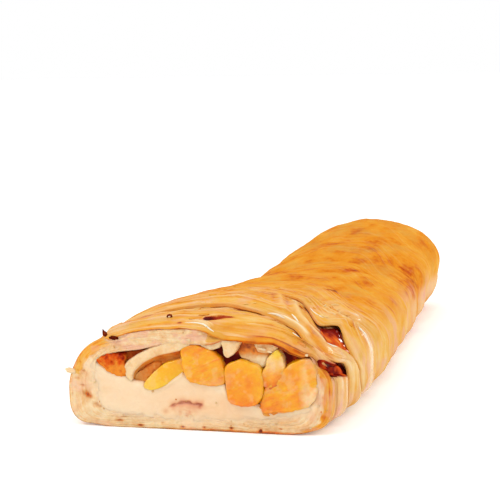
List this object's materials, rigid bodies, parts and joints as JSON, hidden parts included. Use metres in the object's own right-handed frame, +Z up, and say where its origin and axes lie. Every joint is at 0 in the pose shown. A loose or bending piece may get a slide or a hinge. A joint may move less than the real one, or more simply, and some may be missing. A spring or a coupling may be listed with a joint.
{
  "type": "peach strudel",
  "caption": "Long puff-pastry strudel with lapped crust strips, cut open at one end over cream and peach slices; rests flat on its underside.",
  "frame": {"origin": "middle of the underside, on the surface the strudel rests on", "axes": "+Y along the loaf from the cut end to the closed end, +X to the right as the cut end is faced, +Z up"},
  "size_m": [0.109, 0.3302, 0.0515],
  "materials": {
    "baked_pastry": "baked golden crust with a thin glaze, pale flaky crumb where cut",
    "cream": "soft, slightly moist",
    "peach": "wet, fibrous, slightly see-through",
    "fruit_jam": "glossy, sticky"
  },
  "bodies": {
    "root": {"pastry": "baked_pastry", "cream_filling": "cream", "peach_filling": "peach", "peach_slice_left": "peach", "peach_slice_middle": "peach", "peach_chunk": "peach", "peach_wedge": "peach", "peach_slice_right": "peach", "jam_cut": "fruit_jam", "jam_fold_upper": "fruit_jam", "jam_fold_lower": "fruit_jam"}
  },
  "joints": []
}
